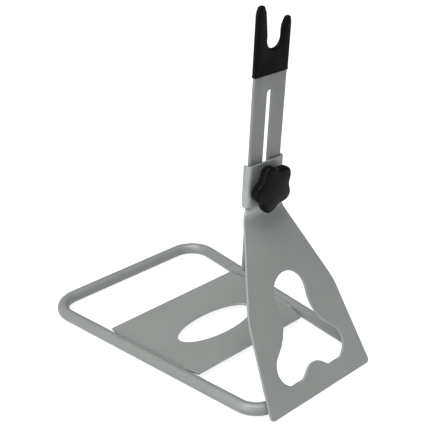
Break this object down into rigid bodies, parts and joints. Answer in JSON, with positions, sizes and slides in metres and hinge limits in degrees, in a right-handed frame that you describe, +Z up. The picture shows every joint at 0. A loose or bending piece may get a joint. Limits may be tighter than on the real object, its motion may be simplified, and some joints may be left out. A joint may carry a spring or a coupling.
{
  "type": "adjustable wheel-hub display stand",
  "caption": "Floor stand with a bent-tube ring base, a leaning cut-out plate and a knob-clamped sliding bar that ends in a rubber-capped fork.",
  "frame": {"origin": "on the floor, under the centre of the stand's bounding box", "axes": "+Z up, -Y towards the front where the plate and the knob are, +X to the right seen from the front"},
  "size_m": [0.2142, 0.3056, 0.3555],
  "materials": {
    "frame_paint": "silver-grey satin powder coat",
    "cross_plate_paint": "silver-grey satin powder coat",
    "front_plate_paint": "silver-grey satin powder coat",
    "bar_paint": "silver-grey satin powder coat, lightly rubbed by the clamp",
    "boot_rubber": "smooth black dipped rubber with a soft sheen",
    "zinc_bolt": "bright zinc plate",
    "zinc_washer": "bright zinc plate",
    "knob_plastic": "fine-grained black moulded plastic",
    "nut_brass": "machined"
  },
  "bodies": {
    "stand": {"base_frame": "frame_paint", "cross_plate": "cross_plate_paint", "front_plate": "front_plate_paint", "carriage_bolt": "zinc_bolt"},
    "fork": {"slotted_bar": "bar_paint", "fork_boot": "boot_rubber"},
    "washer": {"clamp_washer": "zinc_washer"},
    "knob": {"clamp_knob": "knob_plastic", "knob_nut": "nut_brass"}
  },
  "joints": [
    {"name": "fork_slide", "type": "slide", "parent": "stand", "child": "fork", "axis": [0, -0.0767, 0.9971], "range_m": [-0.0803, 0.0695]},
    {"name": "washer_slide", "type": "slide", "parent": "stand", "child": "washer", "axis": [0, -0.9971, -0.0767], "range_m": [0, 0.003]},
    {"name": "knob_turn", "type": "hinge", "parent": "washer", "child": "knob", "pos_m": [0, -0.07067, 0.18928], "axis": [0, -0.9971, -0.0767], "range_deg": [0, 1080]}
  ],
  "couplings": [
    {"joint": "washer_slide", "follows": "knob_turn", "m_per_rad": 0.00015915}
  ]
}
